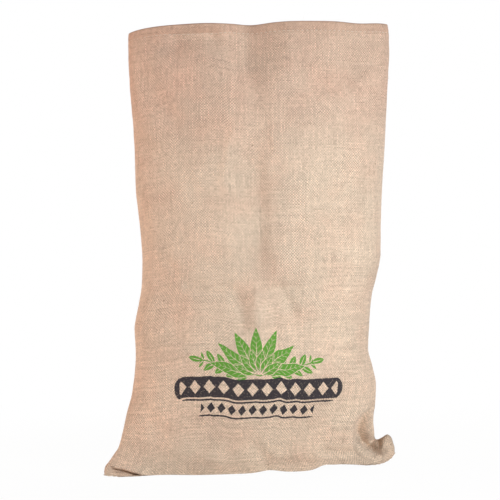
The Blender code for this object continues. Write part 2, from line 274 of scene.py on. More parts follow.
def face_outline(level, face):
    """One face of the sack at a level, from its left end to its right end, evenly spaced by length."""
    angle = np.linspace(math.pi, 0.0, OUTLINE_SAMPLES)
    half_width = (level.right - level.left) / 2
    x = (level.right + level.left) / 2 + half_width * np.cos(angle)
    bulge = np.sin(angle).clip(0.0, 1.0) ** level.pointed
    depth = (level.front if face == FRONT else level.back) * bulge
    depth -= crease_depth(level.height, x) * np.sin(angle).clip(0.0, 1.0)
    bow = level.bow * (1.0 - np.cos(angle) ** 4)
    y = level.shift + bow + (-depth if face == FRONT else depth)
    sharpness = MOUTH_SHARPNESS + (EAR_SHARPNESS - MOUTH_SHARPNESS) * level.turn
    end_share = np.abs(np.cos(angle)) ** sharpness
    end_height = np.where(np.cos(angle) < 0, level.left_height, level.right_height)
    z = level.height + (end_height - level.height) * end_share
    turn = math.radians(FOOT_TURN_DEGREES) * level.turn
    points = np.stack([x * math.cos(turn) + y * math.sin(turn),
                       y * math.cos(turn) - x * math.sin(turn), z], axis=1)
    length = np.concatenate([[0.0], np.cumsum(np.linalg.norm(np.diff(points, axis=0), axis=1))])
    even = np.linspace(0.0, length[-1], COLUMNS_PER_FACE + 1)
    return np.stack([np.interp(even, length, points[:, axis]) for axis in range(3)], axis=1)


def ring_at(distance):
    """A closed ring round the sack: the front from left to right, then the back from right to left."""
    level = level_at(distance)
    front = face_outline(level, FRONT)
    back = face_outline(level, BACK)
    return np.concatenate([front, back[-2:0:-1]])


def path_distances(places, path):
    """Distance of each place from a path, and whether it lies to the left of it."""
    nearest = np.full(places.shape[:-1], np.inf)
    on_left = np.zeros(places.shape[:-1], dtype=bool)
    for start, end in zip(path, path[1:]):
        run = end - start
        offset = places - start
        share = (offset @ run / (run @ run)).clip(0.0, 1.0)
        distance = np.linalg.norm(offset - share[..., None] * run, axis=-1)
        closer = distance < nearest
        turn = run[0] * offset[..., 1] - run[1] * offset[..., 0]
        on_left = np.where(closer, turn > 0, on_left)
        nearest = np.where(closer, distance, nearest)
    return nearest, on_left


def fold_depths(grid, folds):
    """How far each point of the grid moves out of (or, if negative, into) the sack for its folds."""
    on_front = np.arange(grid.shape[1]) <= COLUMNS_PER_FACE
    depths = np.zeros(grid.shape[:2])
    for fold in folds:
        distance, on_left = path_distances(grid[:, :, [0, 2]], np.array(fold.path) * MM)
        reach = np.where(on_left, fold.left, fold.right) * MM
        side = on_front if fold.face == FRONT else ~on_front
        share = distance / reach
        fade = flank(share) if fold.crisp else np.exp(-share ** 2)
        depths += np.where(side[None, :], fold.depth * MM * fade, 0.0)
    return depths


def wave_rises(grid, rows):
    """How far each point of the grid rises for the waves of the mouth and of the foot."""
    on_front = (np.arange(grid.shape[1]) <= COLUMNS_PER_FACE)[None, :]
    near_floor = np.exp(-grid[:, :, 2] / WAVE_FADE)
    near_seam = (1.0 - (rows[-1] - rows) / SEAM_TO_FOOT).clip(0.0, 1.0)[:, None]
    strength = {
        MOUTH: np.exp(-rows / WAVE_FADE)[:, None] * on_front,
        FRONT_FOOT: near_floor * np.where(on_front, 1.0, near_seam),
        WHOLE_FOOT: near_floor,
    }
    rises = np.zeros(grid.shape[:2])
    for wave in WAVES:
        across = np.exp(-((grid[:, :, 0] - wave.x * MM) / (wave.reach * MM)) ** 2)
        rises += wave.rise * MM * across * strength[wave.edge]
    return rises


def swell_heights(u, v):
    """Smooth seeded unevenness over the cloth, which meets itself round the sack."""
    total = np.zeros(np.broadcast(u, v).shape)
    girth = 2 * FACE_WIDTH
    for swell in SWELLS:
        across = max(4, round(girth / (swell.across * MM)))
        down = round(CLOTH_LENGTH / (swell.down * MM)) + 4
        lattice = np.random.default_rng(swell.seed).uniform(-1.0, 1.0, (down, across))
        column = (u / girth % 1.0) * across
        row = v / (swell.down * MM) + 1.0
        left, top = np.floor(column).astype(int), np.floor(row).astype(int)
        a, b = column - left, row - top
        a, b = a * a * (3 - 2 * a), b * b * (3 - 2 * b)
        top = top.clip(0, down - 2)
        near = lattice[top, left % across] * (1 - a) + lattice[top, (left + 1) % across] * a
        far = lattice[top + 1, left % across] * (1 - a) + lattice[top + 1, (left + 1) % across] * a
        total += (near * (1 - b) + far * b) * swell.height * MM
    return total


class ClothGrid:
    """The cloth's outer face as rings, from the hem's inner edge over the mouth down to the bottom seam."""

    def __init__(self):
        self.rows, self.inward = self.row_plan()
        outside = self.inward == 0.0
        rings = np.array([ring_at(distance) for distance in self.rows])
        columns = rings.shape[1]
        self.u = np.arange(columns + 1) * (2 * FACE_WIDTH / columns)
        resting = rings[:, :, 2] < REST_BAND
        depths = fold_depths(rings, [fold for fold in FOLDS if not fold.level])
        depths += swell_heights(self.u[None, :-1], self.rows[:, None])
        depths[:, SIDE_ENDS] *= SIDE_END_SHARE
        groove = np.exp(-((self.rows - HEM_STITCH_LINE) / HEM_GROOVE_REACH) ** 2) * outside
        depths -= HEM_GROOVE_DEPTH * groove[:, None]
        depths = np.where(resting, 0.0, depths)
        points = rings + self.cloth_normals(rings) * depths[..., None]
        forward = fold_depths(rings, [fold for fold in FOLDS if fold.level])
        forward[:, SIDE_ENDS] = 0.0
        points[:, :, 1] -= np.where(resting, 0.0, forward)
        points[:, :, 2] = np.where(resting, 0.0, points[:, :, 2].clip(0.0, None))
        points[:, :, 2] += wave_rises(points, self.rows)
        self.normals = self.cloth_normals(points)
        points = points - self.normals * self.inward[:, None, None]
        middle = (rings[outside].min(axis=(0, 1)) + rings[outside].max(axis=(0, 1))) / 2
        self.points = points - np.array([middle[0], middle[1], 0.0])
        self.v = self.path_lengths()

    @staticmethod
    def row_plan():
        """Each row's distance down the cloth and how far it lies inside the outer face."""
        turned_in = 2 * HEM_FOLD_RADIUS
        rows = [(distance, turned_in) for distance in HEM_ROWS]
        for step in range(1, HEM_FOLD_STEPS):
            angle = math.pi * step / HEM_FOLD_STEPS
            rows.append((HEM_FOLD_RADIUS * (1 - math.sin(angle)), HEM_FOLD_RADIUS * (1 + math.cos(angle))))
        rows += [(distance, 0.0) for distance in reversed(HEM_ROWS)]
        distances = cloth_distances() / MM
        start = HEM_ROWS[0]
        for above, end in zip(LEVELS, distances[1:]):
            if end < start + ROW_STEP / MM / 2:
                continue
            step = (FOOT_ROW_STEP if 0 < above.height < FOOT_HEIGHT else ROW_STEP) / MM
            count = max(1, math.ceil((end - start) / step))
            rows += [(start + (end - start) * (k + 1) / count, 0.0) for k in range(count)]
            start = end
        plan = np.array(rows) * MM
        return plan[:, 0], plan[:, 1]

    def cloth_normals(self, rings):
        """Normals out of the sack, worked out on the outer rows and repeated on the turned-in ones."""
        order = np.argsort(self.rows, kind="stable")
        spread = rings[order]
        along = np.roll(spread, -1, axis=1) - np.roll(spread, 1, axis=1)
        low = np.minimum(np.arange(len(order)) + SLOPE_ROWS, len(order) - 1)
        high = np.maximum(np.arange(len(order)) - SLOPE_ROWS, 0)
        normals = np.cross(spread[low] - spread[high], along)
        normals /= np.maximum(np.linalg.norm(normals, axis=2, keepdims=True), TINY)
        result = np.empty_like(normals)
        result[order] = normals
        return result

    def path_lengths(self):
        """Distance of each point down its own column of the cloth, zero at the mouth's edge."""
        steps = np.linalg.norm(np.diff(self.points, axis=0), axis=2)
        lengths = np.concatenate([np.zeros((1, steps.shape[1])), np.cumsum(steps, axis=0)])
        mouth = len(HEM_ROWS) + HEM_FOLD_STEPS // 2
        return lengths - lengths[mouth]


# ===== Properties =====


class SackSizes(bpy.types.PropertyGroup):
    """Sizes that a user might change."""

    cloth_thickness: FloatProperty(
        name="Cloth thickness", description="Thickness of one layer of hessian",
        default=1.3 * MM, min=0.5 * MM, max=3 * MM, unit="LENGTH")
    thread_pitch: FloatProperty(
        name="Thread pitch", description="Distance from one thread to the next",
        default=2.2 * MM, min=1 * MM, max=6 * MM, unit="LENGTH")


def colour_property(name, description, default):
    return FloatVectorProperty(
        name=name, description=description, default=default, size=3, min=0.0, max=1.0, subtype="COLOR")


class SackColours(bpy.types.PropertyGroup):
    """Colours that a user might change."""

    jute: colour_property("Jute", "Colour of the undyed threads", (0.675, 0.517, 0.384))
    jute_blush: colour_property(
        "Jute blush", "Colour of the threads in their redder patches", (0.687, 0.491, 0.361))
    gap: colour_property("Between threads", "Colour of the shaded gaps between threads", (0.34, 0.22, 0.145))
    thread: colour_property("Thread", "Colour of the sewing thread", (0.70, 0.575, 0.445))
    leaf_ink: colour_property("Leaf ink", "Colour of the printed sprigs and leaves", (0.10, 0.30, 0.03))
    band_ink: colour_property("Band ink", "Colour of the printed bands", (0.028, 0.024, 0.030))
    floor: colour_property("Floor", "Colour of the studio floor", (0.86, 0.86, 0.86))


# ===== Node wiring =====

VECTOR, NUMBER, GEOMETRY = "NodeSocketVector", "NodeSocketFloat", "NodeSocketGeometry"
SHADER_TREE, GEOMETRY_TREE = "ShaderNodeTree", "GeometryNodeTree"
RESULT_SOCKET = {SHADER_TREE: NUMBER, GEOMETRY_TREE: GEOMETRY}


def node_sum(operation, swapped=False):
    """A method that puts a math node between a reading and another value."""
    def method(self, other):
        return self.wire.math(operation, *((other, self) if swapped else (self, other)))
    return method


class Reading:
    """A node's output, which sums and comparisons can be written with."""

    def __init__(self, wire, socket):
        self.wire = wire
        self.socket = socket

    def __abs__(self):
        return self.wire.math("ABSOLUTE", self)

    __add__, __mul__ = node_sum("ADD"), node_sum("MULTIPLY")
    __sub__, __rsub__ = node_sum("SUBTRACT"), node_sum("SUBTRACT", swapped=True)
    __truediv__, __pow__ = node_sum("DIVIDE"), node_sum("POWER")
    __gt__, __lt__ = node_sum("GREATER_THAN"), node_sum("LESS_THAN")


# An uneven pattern: its grains per metre, its finer detail and roughness, and the span of its noise that is
# spread between two new values.
Mottle = namedtuple("Mottle", "scale detail roughness low high new_low new_high", defaults=(0.0, 1.0))


class Wiring:
    """Short calls that add nodes to a tree and join them up."""

    def __init__(self, tree):
        self.tree = tree

    def node(self, kind, inputs=None, **settings):
        node = self.tree.nodes.new(kind)
        for name, value in settings.items():
            setattr(node, name, value)
        for name, value in (inputs or {}).items():
            self.feed(node.inputs[name], value)
        return node

    def feed(self, socket, value):
        if isinstance(value, Reading):
            self.tree.links.new(value.socket, socket)
        else:
            socket.default_value = value

    def read(self, kind, inputs=None, output=0, **settings):
        return Reading(self, self.node(kind, inputs, **settings).outputs[output])

    def read_all(self, kind, inputs=None, **settings):
        outputs = self.node(kind, inputs, **settings).outputs
        return {output.name: Reading(self, output) for output in outputs}

    def math(self, operation, *values):
        return self.read("ShaderNodeMath", dict(enumerate(values)), operation=operation)

    def vector(self, operation, *values, output=0):
        return self.read("ShaderNodeVectorMath", dict(enumerate(values)), output, operation=operation)

    def combine(self, x, y, z=0.0):
        return self.read("ShaderNodeCombineXYZ", {"X": x, "Y": y, "Z": z})

    def separate(self, vector):
        return list(self.read_all("ShaderNodeSeparateXYZ", {"Vector": vector}).values())

    def noise(self, vector, scale, detail, roughness=0.5, output="Fac"):
        inputs = {"Vector": vector, "Scale": scale, "Detail": detail, "Roughness": roughness}
        return self.read("ShaderNodeTexNoise", inputs, output)

    def shake(self, vector, reach, *noise):
        """An uneven offset in the cloth's plane, of up to half the reach each way."""
        offset = self.vector("SUBTRACT", self.noise(vector, *noise, output="Color"), (0.5, 0.5, 0.5))
        return self.vector("MULTIPLY", offset, (reach, reach, 0.0))

    def spread(self, value, low, high, new_low=0.0, new_high=1.0, ease="LINEAR"):
        inputs = {"Value": value, "From Min": low, "From Max": high, "To Min": new_low, "To Max": new_high}
        return self.read("ShaderNodeMapRange", inputs, clamp=True, interpolation_type=ease)

    def mottle(self, vector, pattern):
        noise = self.noise(vector, pattern.scale, pattern.detail, pattern.roughness)
        return self.spread(noise, pattern.low, pattern.high, pattern.new_low, pattern.new_high)

    def blend(self, factor, first, second, blend_type="MIX"):
        inputs = {"Factor": factor, 6: first, 7: second}
        return self.read("ShaderNodeMix", inputs, 2, data_type="RGBA", blend_type=blend_type)

    def place(self, group, inputs):
        return self.read_all("ShaderNodeGroup", inputs, node_tree=group)

    def turned(self, place, angle):
        """How far a place lies along a line from the origin at an angle from upright, and beside it."""
        x, y, _ = self.separate(place)
        sine, cosine = self.math("SINE", angle), self.math("COSINE", angle)
        return x * sine + y * cosine, abs(x * cosine - y * sine)

    def random_vector(self, low, high, seed):
        return self.read("FunctionNodeRandomValue", {"Min": low, "Max": high, "Seed": seed},
                         data_type="FLOAT_VECTOR")


def node_group(kind, name, inputs, fill):
    """The node group of that name, which fill builds from its inputs when it is first asked for."""
    tree = bpy.data.node_groups.get(name)
    if tree:
        return tree
    tree = bpy.data.node_groups.new(name, kind)
    for socket, socket_type in inputs.items():
        tree.interface.new_socket(socket, in_out="INPUT", socket_type=socket_type)
    wire = Wiring(tree)
    results = fill(wire, wire.read_all("NodeGroupInput"))
    for socket in results:
        tree.interface.new_socket(socket, in_out="OUTPUT", socket_type=RESULT_SOCKET[kind])
    wire.node("NodeGroupOutput", results)
    return tree


def new_material(name, roughness):
    """A material with its wiring and its main shader."""
    material = bpy.data.materials.new(name)
    material.use_nodes = True
    shader = material.node_tree.nodes["Principled BSDF"]
    shader.inputs["Roughness"].default_value = roughness
    return material, Wiring(material.node_tree), shader


def colour4(colour):
    return (*colour, 1.0)


# ===== Cloth =====


def cloth_mesh(grid):
    """The cloth's outer face with its pattern coordinates, sewn shut at the bottom, open at the mouth."""
    mesh = bpy.data.meshes.new("hessian_cloth")
    sheet = bmesh.new()
    uv_layer = sheet.loops.layers.uv.new("cloth")
    rows, columns = grid.points.shape[:2]
    rings = [[sheet.verts.new(point) for point in ring] for ring in grid.points]
    for row in range(rows - 1):
        for column in range(columns):
            after = (column + 1) % columns
            corners = ((row, column, column), (row + 1, column, column),
                       (row + 1, after, column + 1), (row, after, column + 1))
            face = sheet.faces.new([rings[r][c] for r, c, _ in corners])
            for loop, (r, c, u_index) in zip(face.loops, corners):
                loop[uv_layer].uv = (grid.u[u_index], grid.v[r, c])
    seam, last = rings[-1], rows - 1
    for column in range(COLUMNS_PER_FACE):
        picks = dict.fromkeys((column, -column % columns, (-column - 1) % columns, column + 1))
        face = sheet.faces.new([seam[c] for c in picks])
        for loop, c in zip(face.loops, picks):
            loop[uv_layer].uv = (grid.u[c], grid.v[last, c])
    bmesh.ops.recalc_face_normals(sheet, faces=sheet.faces)
    sheet.to_mesh(mesh)
    sheet.free()
    mesh.shade_smooth()
    return mesh


def new_object(name, data):
    obj = bpy.data.objects.new(name, data)
    bpy.context.scene.collection.objects.link(obj)
    return obj


def apply_modifiers(obj):
    """Keep what the object's modifiers make of it as its plain mesh."""
    depsgraph = bpy.context.evaluated_depsgraph_get()
    result = bpy.data.meshes.new_from_object(obj.evaluated_get(depsgraph), depsgraph=depsgraph)
    obj.modifiers.clear()
    obj.data = result


class SACK_OT_cloth(bpy.types.Operator):
    """Model the sack's cloth from its hem to its bottom seam"""

    bl_idname = "sack.cloth"
    bl_label = "Cloth"

    def execute(self, context):
        cloth = new_object("hessian_cloth", cloth_mesh(ClothGrid()))
        cloth.data.materials.append(hessian_material(context, printed=True))
        cloth.data.materials.append(hessian_material(context, printed=False))
        solidify = cloth.modifiers.new("cloth thickness", "SOLIDIFY")
        solidify.thickness = context.scene.sack_sizes.cloth_thickness
        solidify.offset = -1.0
        solidify.material_offset = 1
        apply_modifiers(cloth)
        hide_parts(CLOTH_NODE)
        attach(cloth, BODY)
        return {"FINISHED"}


# ===== Stitches and loose fibres =====

# The running stitches: length and thickness of one, and how far apart they start.
Stitch = namedtuple("Stitch", "length thickness pitch")
STITCH = Stitch(5.2 * MM, 1.25 * MM, 7.6 * MM)
# How far they stand out of the cloth, and the least and most of their uneven sizes and of their turns.
STITCH_RISE = 0.15 * MM
STITCH_SHARES = ((0.85, 0.85, 0.82), (1.1, 1.1, 1.12))
STITCH_TURNS = ((-0.1, 0.0, 0.0), (0.1, 0.0, 0.0))
STITCH_SIDES, STITCH_RINGS = 8, 6

# The loose fibres: length and thickness of one, and how many stand out of each square metre of cloth.
Fibre = namedtuple("Fibre", "length thickness per_square_metre")
FIBRE = Fibre(8.0 * MM, 0.15 * MM, 2600.0)
FIBRE_SHARES = ((0.35, 0.35, 0.2), (1.2, 1.2, 1.1))
FIBRE_TURNS = ((0.0, 0.0, 0.0), (0.3, 0.0, math.tau))
FIBRE_FLOOR_GAP = 4.0 * MM
# The bow of a fibre of unit length, from its root to its tip.
FIBRE_BOW = {"Start": (0.0, 0.0, -0.02), "Middle": (0.5, 0.12, 0.34), "End": (1.0, 0.0, 0.10)}
FIBRE_BENDS, FIBRE_SIDES = 4, 3


def set_on_points(wire, points, shape, turn, size, material):
    """The shape as plain mesh of one material on every point, turned and sized there."""
    turn = wire.read("FunctionNodeRotateRotation", {
        "Rotation": points["Rotation"], "Rotate By": turn}, rotation_space="LOCAL")
    placed = wire.read("GeometryNodeInstanceOnPoints", {
        "Points": points["Points"], "Instance": shape, "Rotation": turn, "Scale": size})
    real = wire.read("GeometryNodeRealizeInstances", {"Geometry": placed})
    return {"Geometry": wire.read("GeometryNodeSetMaterial", {"Geometry": real, "Material": material})}


def sew(wire, given, material):
    """Rounded stitches set evenly along a line, each a little longer, shorter or askew."""
    line = wire.read("GeometryNodeMeshToCurve", {"Mesh": given["Geometry"]})
    line = wire.read("GeometryNodeSetCurveNormal", {"Curve": line}, mode="Z_UP")
    points = wire.read_all(
        "GeometryNodeCurveToPoints", {"Curve": line, "Length": given["pitch"]}, mode="LENGTH")
    ball = wire.read("GeometryNodeMeshUVSphere", {
        "Segments": STITCH_SIDES, "Rings": STITCH_RINGS, "Radius": 0.5})
    smooth = wire.read("GeometryNodeSetShadeSmooth", {"Geometry": ball})
    size = wire.combine(given["thickness"], given["thickness"], given["length"])
    size = wire.vector("MULTIPLY", size, wire.random_vector(*STITCH_SHARES, seed=3))
    return set_on_points(wire, points, smooth, wire.random_vector(*STITCH_TURNS, seed=5), size, material)


def scatter_fibres(wire, given, material):
    """Short bowed fibres scattered over a face, rooted in it and lying every way."""
    height = wire.separate(wire.read("GeometryNodeInputPosition"))[2]
    above_floor = wire.read("FunctionNodeCompare", {"A": height, "B": FIBRE_FLOOR_GAP})
    roots = wire.read_all("GeometryNodeDistributePointsOnFaces", {
        "Mesh": given["Geometry"], "Selection": above_floor, "Density": given["per_square_metre"], "Seed": 7})
    bow = wire.read("GeometryNodeCurveQuadraticBezier", {"Resolution": FIBRE_BENDS, **FIBRE_BOW})
    radius = given["thickness"] * 0.5 / given["length"]
    section = wire.read("GeometryNodeCurvePrimitiveCircle", {"Resolution": FIBRE_SIDES, "Radius": radius})
    fibre = wire.read("GeometryNodeCurveToMesh", {"Curve": bow, "Profile Curve": section, "Fill Caps": True})
    size = wire.combine(given["length"], given["length"], given["length"])
    size = wire.vector("MULTIPLY", wire.random_vector(*FIBRE_SHARES, seed=9), size)
    return set_on_points(wire, roots, fibre, wire.random_vector(*FIBRE_TURNS, seed=8), size, material)


def grow(obj, fill, row, material):
    """Turn the object's mesh into what a geometry node group makes of it, with the row's numbers."""
    inputs = {"Geometry": GEOMETRY, **dict.fromkeys(row._fields, NUMBER)}
    tree = node_group(GEOMETRY_TREE, obj.name, inputs, lambda wire, given: fill(wire, given, material))
    modifier = obj.modifiers.new(obj.name, "NODES")
    modifier.node_group = tree
    for socket in tree.interface.items_tree:
        if socket.in_out == "INPUT" and socket.name in row._fields:
            modifier[socket.identifier] = getattr(row, socket.name)
    apply_modifiers(obj)


def line_mesh(name, closed_lines, open_lines):
    """A mesh of plain lines, each a list of points. The closed ones run back to their first point."""
    points, edges = [], []
    for lines, closed in ((closed_lines, True), (open_lines, False)):
        for line in lines:
            first = len(points)
            points.extend(line)
            edges += [(k, k + 1) for k in range(first, len(points) - 1)]
            if closed:
                edges.append((len(points) - 1, first))
    mesh = bpy.data.meshes.new(name)
    mesh.from_pydata([tuple(point) for point in points], edges, [])
    return mesh


class SACK_OT_stitches(bpy.types.Operator):
    """Sew the hem on its outer and inner faces, and the ends of the bottom seam that stand off the floor"""

    bl_idname = "sack.stitches"
    bl_label = "Stitches"

    def execute(self, context):
        grid = ClothGrid()
        outer = int(np.argmin(np.abs(grid.rows - HEM_STITCH_LINE) + (grid.inward > 0.0)))
        inner = int(np.argmin(np.abs(grid.rows - HEM_STITCH_LINE) + (grid.inward == 0.0)))
        hem = [grid.points[outer] + grid.normals[outer] * STITCH_RISE,
               grid.points[inner] - grid.normals[inner] * STITCH_RISE]
        seam = grid.points[-1, :COLUMNS_PER_FACE + 1]
        raised = seam[:, 2] > STITCH.thickness
        middle = COLUMNS_PER_FACE // 2
        ends = [seam[:middle][raised[:middle]], seam[middle:][raised[middle:]]]
        stitches = new_object("stitches", line_mesh("stitches", hem, ends))
        grow(stitches, sew, STITCH, thread_material("sewing_thread", context.scene.sack_colours.thread))
        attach(stitches, BODY)
        return {"FINISHED"}


class SACK_OT_fibres(bpy.types.Operator):
    """Scatter loose jute fibres over the cloth"""

    bl_idname = "sack.fibres"
    bl_label = "Loose fibres"

    def execute(self, context):
        fibres = new_object("loose_fibres", cloth_mesh(ClothGrid()))
        grow(fibres, scatter_fibres, FIBRE, thread_material("loose_fibre", context.scene.sack_colours.jute))
        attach(fibres, BODY)
        return {"FINISHED"}


# ===== Weave =====

# The lengthwise and the crosswise threads: how much their dye and their slubs change their tone.
Threads = namedtuple("Threads", "dyed slubbed")
WARP = Threads(0.25, 0.58)
WEFT = Threads(0.34, 0.88)
SLUBS_PER_METRE = 130.0
DYES_PER_METRE = 9.0
# How far one thread lies from the next in the noise of its slubs and of its dye, so that no two match.
SLUB_STRIDE, DYE_STRIDE = 7.31, 5.73
# How far the threads wander, in threads, and the noise that they follow.
THREAD_WANDER = 3.4
THREAD_WANDER_NOISE = (26.0, 4.0, 0.6)
# A thread's half width between its thinnest and thickest places, in threads.
THREAD_HALF_WIDTHS = (0.36, 0.58)
# Height of a thread between its crossings, and how far it rises and dips at them.
THREAD_MID_HEIGHT = 0.6
THREAD_CRIMP = 0.36


def plain_weave(wire, given):
    """Over-and-under threads with slubs: their height, the gaps between them, each thread's tone, and where
    the lengthwise threads lie on top."""
    cloth, pitch = given["Cloth"], given["Pitch"]
    wander = wire.shake(cloth, THREAD_WANDER, *THREAD_WANDER_NOISE)
    counted = wire.vector("ADD", wire.vector("DIVIDE", cloth, wire.combine(pitch, pitch, 1.0)), wander)
    across, down, _ = wire.separate(counted)
    warp_number, weft_number = wire.math("FLOOR", across), wire.math("FLOOR", down)
    beside_warp, beside_weft = wire.math("FRACT", across) - 0.5, wire.math("FRACT", down) - 0.5
    over = wire.math("FLOORED_MODULO", warp_number + weft_number, 2.0) * 2.0 - 1.0
    u, v, _ = wire.separate(cloth)
    heights, tones = [], []
    for threads, number, along, beside, crossing, sign in (
            (WARP, warp_number, v, beside_warp, beside_weft, 1.0),
            (WEFT, weft_number, u, beside_weft, beside_warp, -1.0)):
        slubs = wire.combine(number * SLUB_STRIDE, along * SLUBS_PER_METRE, 3.0 * sign)
        slubs = wire.noise(slubs, 1.0, 3.0, 0.7)
        share = beside / wire.spread(slubs, 0.28, 0.78, *THREAD_HALF_WIDTHS)
        body = wire.math("SQRT", wire.math("MAXIMUM", 1.0 - share * share, 0.0))
        wave = wire.math("COSINE", crossing * math.pi) * over
        heights.append(body * (wave * (THREAD_CRIMP * sign) + THREAD_MID_HEIGHT))
        dye = wire.combine(number * DYE_STRIDE, along * DYES_PER_METRE, 9.0 * sign)
        dye = wire.noise(dye, 1.0, 1.0)
        tones.append(wire.spread(dye, 0.25, 0.75) * threads.dyed + wire.spread(
            slubs, 0.0, 1.0, 0.5 - threads.slubbed, 0.5 + threads.slubbed - threads.dyed))
    warp_on_top = heights[0] > heights[1]
    height = wire.math("MAXIMUM", *heights)
    return {"Height": height, "Gap": wire.spread(height, 0.05, 0.5, 1.0, 0.0),
            "Tone": (tones[0] - tones[1]) * warp_on_top + tones[1], "Warp": warp_on_top}


# ===== Print: leaves between two sprigs, over bands and lozenges, in metres and radians =====

# Leaves and sprigs spread from one foot, each at its angle from upright. A band stands at its rise over the
# print's centre, and a row of lozenges at this pitch bores this share of its half width.
Leaf = namedtuple("Leaf", "angle start length width")
LEAVES = (
    *(Leaf(math.radians(26 * step), 0.012, 0.066, 0.0098) for step in (-3, -2, -1, 0, 1, 2, 3)),
    *(Leaf(math.radians(26 * step + 13), 0.006, 0.036, 0.0072) for step in (-3, -2, -1, 0, 1, 2)),
)
Sprig = namedtuple("Sprig", "angle length leaf width")
SPRIGS = (
    Sprig(math.radians(-77), 0.094, 0.022, 0.0046),
    Sprig(math.radians(77), 0.094, 0.022, 0.0046),
)
Band = namedtuple("Band", "rise half_length half_width pitch share")
BANDS = (
    Band(-0.031, 0.138, 0.0165, 0.0230, 0.66),
    Band(-0.0515, 0.125, 0.0014, 0.0230, 0.0),
    Band(-0.0770, 0.095, 0.0014, 0.0230, 0.0),
)
LOZENGES = Band(-0.0642, 0.102, 0.0085, 0.0170, 1.0)
PRINT_CENTRE = (0.246, 0.560)
LEAVES_FOOT = -0.009
LEAF_OUTLINE = 1.1 * MM
LEAF_RIB = 0.9 * MM
VEIN_PITCH = 8.5 * MM
SPRIG_LEAF_ANGLE = math.radians(46)
BAND_TAPER = 8 * MM
BAND_MARGIN = 9 * MM
INK_BLEED = 1.6 * MM
INK_BLEED_NOISE = (420.0, 1.0)


def draw_sprig(wire, given):
    """A printed sprig: a stem with pairs of pointed leaves and one leaf at its tip."""
    along, side = wire.turned(given["place"], given["angle"])
    length, leaf, width = given["length"], given["leaf"], given["width"]

    def inside(low, value, high):
        return (value > low) * (value < high)

    def leaf_ink(run, offset):
        share = run / leaf
        bulge = share * (1.0 - share) * 4.0
        edge = wire.math("MAXIMUM", bulge, 0.0) ** 0.8 * width
        return inside(0.0, share, 1.0) * inside((1.0 - share) * LEAF_RIB, offset, edge)

    pitch = leaf * 0.80
    in_pair = along - wire.math("FLOOR", along / pitch) * pitch
    cosine, sine = math.cos(SPRIG_LEAF_ANGLE), math.sin(SPRIG_LEAF_ANGLE)
    pairs = leaf_ink(in_pair * cosine + side * sine, abs(side * cosine - in_pair * sine))
    pairs = pairs * inside(pitch * 0.9, along, length)
    tip = leaf_ink(along - length * 0.97, side)
    stem = inside(0.0, along, length) * (side < LEAF_RIB)
    return {"Ink": wire.math("MAXIMUM", wire.math("MAXIMUM", pairs, tip), stem)}


def draw_leaf(wire, given):
    """A printed leaf: a pointed oval with a bare midrib and side veins, and its bare outline."""
    along, side = wire.turned(given["place"], given["angle"])
    share = (along - given["start"]) / given["length"]
    within = wire.math("MAXIMUM", wire.math("MINIMUM", share, 1.0), 0.0)
    edge = wire.math("SINE", within ** 0.85 * math.pi) * given["width"]
    rib = side < wire.spread(share, 0.1, 0.85, LEAF_RIB, 0.0)
    vein = (wire.math("FRACT", (along - side * 1.1) / VEIN_PITCH) < 0.09) * (side < edge * 0.75)
    ink = (side < edge) * (1.0 - wire.math("MAXIMUM", rib, vein))
    around = (share > -0.02) * (share < 1.03)
    return {"Ink": ink, "Outline": around * (side < edge + LEAF_OUTLINE)}


def draw_band(wire, given):
    """A printed band with tapered ends, bored by a row of bare lozenges, and a row of lozenges alone."""
    x, y, _ = wire.separate(given["place"])
    reach, offset = abs(x), abs(y - given["rise"])
    taper = wire.spread(given["half_length"] - reach, 0.0, BAND_TAPER)
    cell = wire.math("FRACT", x / given["pitch"]) - 0.5
    half_lozenge = given["half_width"] * wire.math("MAXIMUM", given["share"], MM)
    marked = (abs(cell) * 2.5 + offset / half_lozenge < 1.0) * (reach < given["half_length"] - BAND_MARGIN)
    return {"Bored band": (offset < given["half_width"] * taper ** 0.4) * (1.0 - marked), "Lozenges": marked}


def drawn(wire, name, draw, place, row):
    """What a printed shape's shared group puts out at a place, for one row of its table."""
    group = node_group(SHADER_TREE, name, {"place": VECTOR, **dict.fromkeys(row._fields, NUMBER)}, draw)
    return wire.place(group, {"place": place, **row._asdict()})


def print_masks(wire, cloth):
    """Where the leaf ink and the band ink lie, from 0 to 1."""
    place = wire.vector("SUBTRACT", cloth, (*PRINT_CENTRE, 0.0))
    place = wire.vector("MULTIPLY", place, (1.0, -1.0, 0.0))
    place = wire.vector("ADD", place, wire.shake(cloth, INK_BLEED, *INK_BLEED_NOISE))
    foot = wire.vector("SUBTRACT", place, (0.0, LEAVES_FOOT, 0.0))
    leaves = bands = 0.0
    for sprig in SPRIGS:
        leaves = wire.math("MAXIMUM", leaves, drawn(wire, "leaf sprig", draw_sprig, foot, sprig)["Ink"])
    for leaf in LEAVES:
        found = drawn(wire, "printed leaf", draw_leaf, foot, leaf)
        leaves = wire.math("MAXIMUM", leaves * (1.0 - found["Outline"]), found["Ink"])
    for band in (*BANDS, LOZENGES):
        found = drawn(wire, "printed band", draw_band, place, band)
        bands = wire.math("MAXIMUM", bands, found["Lozenges" if band is LOZENGES else "Bored band"])
    return leaves, bands


# ===== Materials =====

